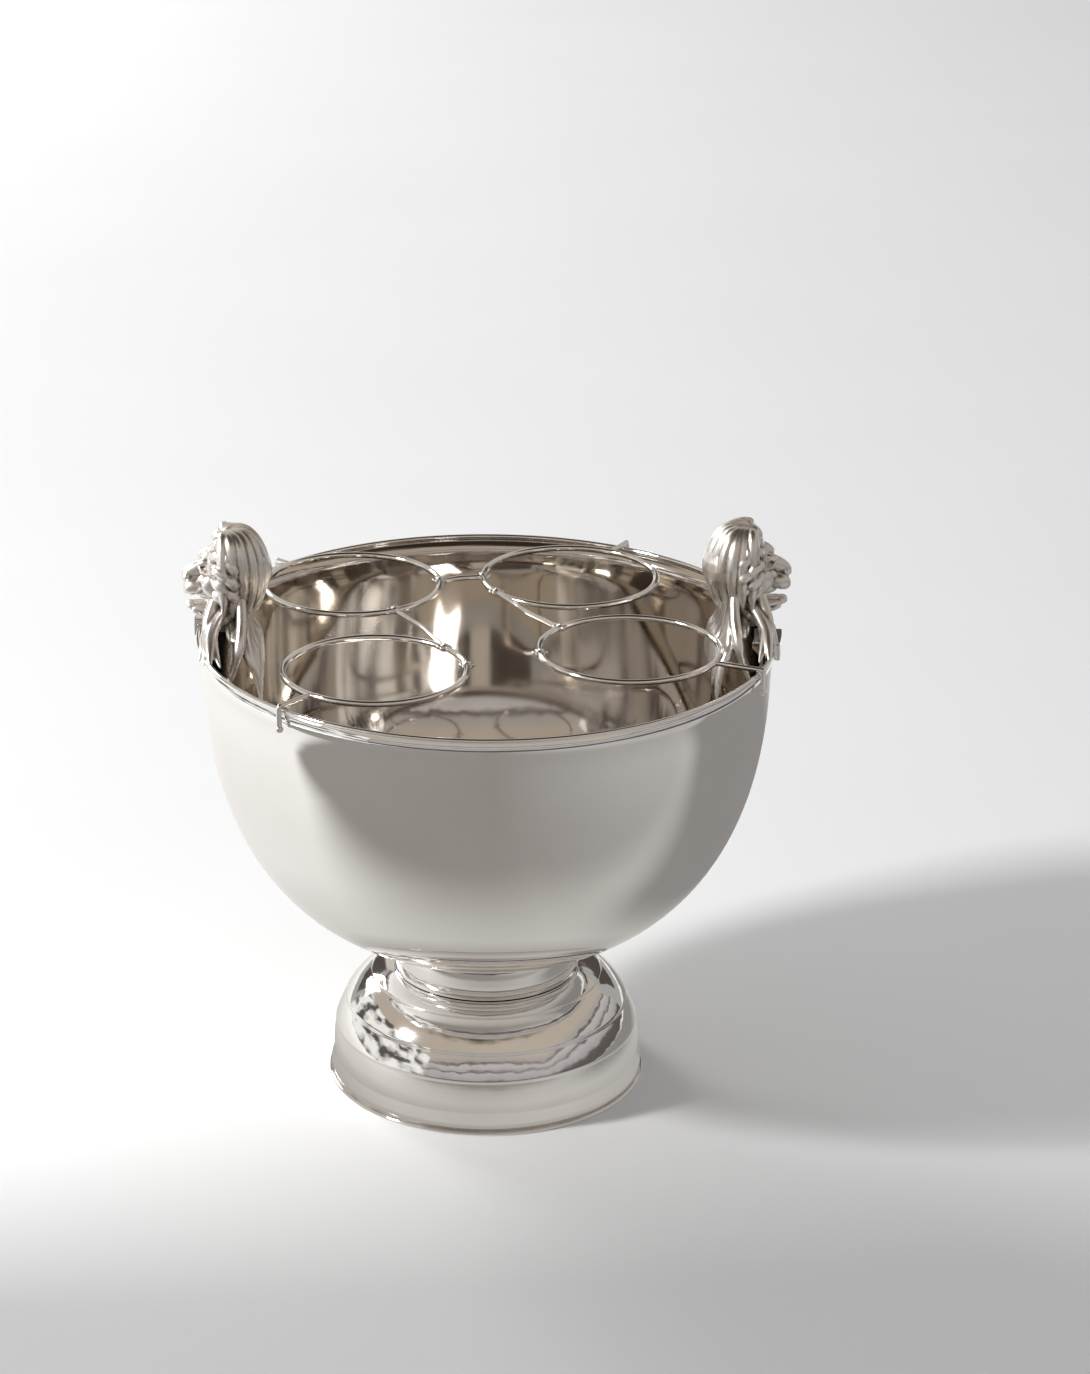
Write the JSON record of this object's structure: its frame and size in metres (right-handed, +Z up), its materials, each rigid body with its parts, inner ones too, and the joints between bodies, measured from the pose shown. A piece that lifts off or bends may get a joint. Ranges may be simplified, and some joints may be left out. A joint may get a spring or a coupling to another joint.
{
  "type": "champagne bucket",
  "caption": "Deep round silver champagne bucket on a domed foot, with cast lion's heads on the rim and a lift-out rack of bottle rings.",
  "frame": {"origin": "centre of the foot's resting face", "axes": "+Z up along the bowl's axis; the two lion's heads stand on the X axis; +Y is the back"},
  "size_m": [0.472, 0.4514, 0.461],
  "materials": {
    "polished_silver": "mirror polished silver plate",
    "turned_silver": "polished silver plate with fine turned lines",
    "cast_silver": "cast silver plate, dark in the recesses",
    "wire_silver": "polished silver-plated wire",
    "steel_fixing": "plain steel",
    "brass_fixing": "bare brass"
  },
  "bodies": {
    "bucket": {"bowl": "polished_silver", "clamp_screws_left": "steel_fixing", "clamp_screws_right": "steel_fixing", "collar": "turned_silver", "ears_left": "cast_silver", "ears_right": "cast_silver", "foot": "turned_silver", "foot_wire": "turned_silver", "head_left": "cast_silver", "head_right": "cast_silver", "jaw_left": "cast_silver", "jaw_right": "cast_silver", "mane_left": "cast_silver", "mane_right": "cast_silver", "neck_left": "cast_silver", "neck_right": "cast_silver", "nut": "brass_fixing", "rim_bead": "polished_silver", "saddle_left": "cast_silver", "saddle_right": "cast_silver", "stud": "brass_fixing", "washer": "steel_fixing"},
    "rack": {"clasp_back_left_a": "cast_silver", "clasp_back_left_b": "cast_silver", "clasp_back_right_a": "cast_silver", "clasp_back_right_b": "cast_silver", "clasp_front_left_a": "cast_silver", "clasp_front_left_b": "cast_silver", "clasp_front_right_a": "cast_silver", "clasp_front_right_b": "cast_silver", "hook_back_left": "wire_silver", "hook_back_right": "wire_silver", "hook_front_left": "wire_silver", "hook_front_right": "wire_silver", "link_back": "wire_silver", "link_left": "wire_silver", "link_right": "wire_silver", "ring_back_left": "wire_silver", "ring_back_right": "wire_silver", "ring_front_left": "wire_silver", "ring_front_right": "wire_silver", "tip_back_left": "cast_silver", "tip_back_right": "cast_silver", "tip_front_left": "cast_silver", "tip_front_right": "cast_silver"}
  },
  "joints": [
    {"name": "rack_lift", "type": "slide", "parent": "bucket", "child": "rack", "axis": [0, 0, 1], "range_m": [0, 0.115]}
  ]
}
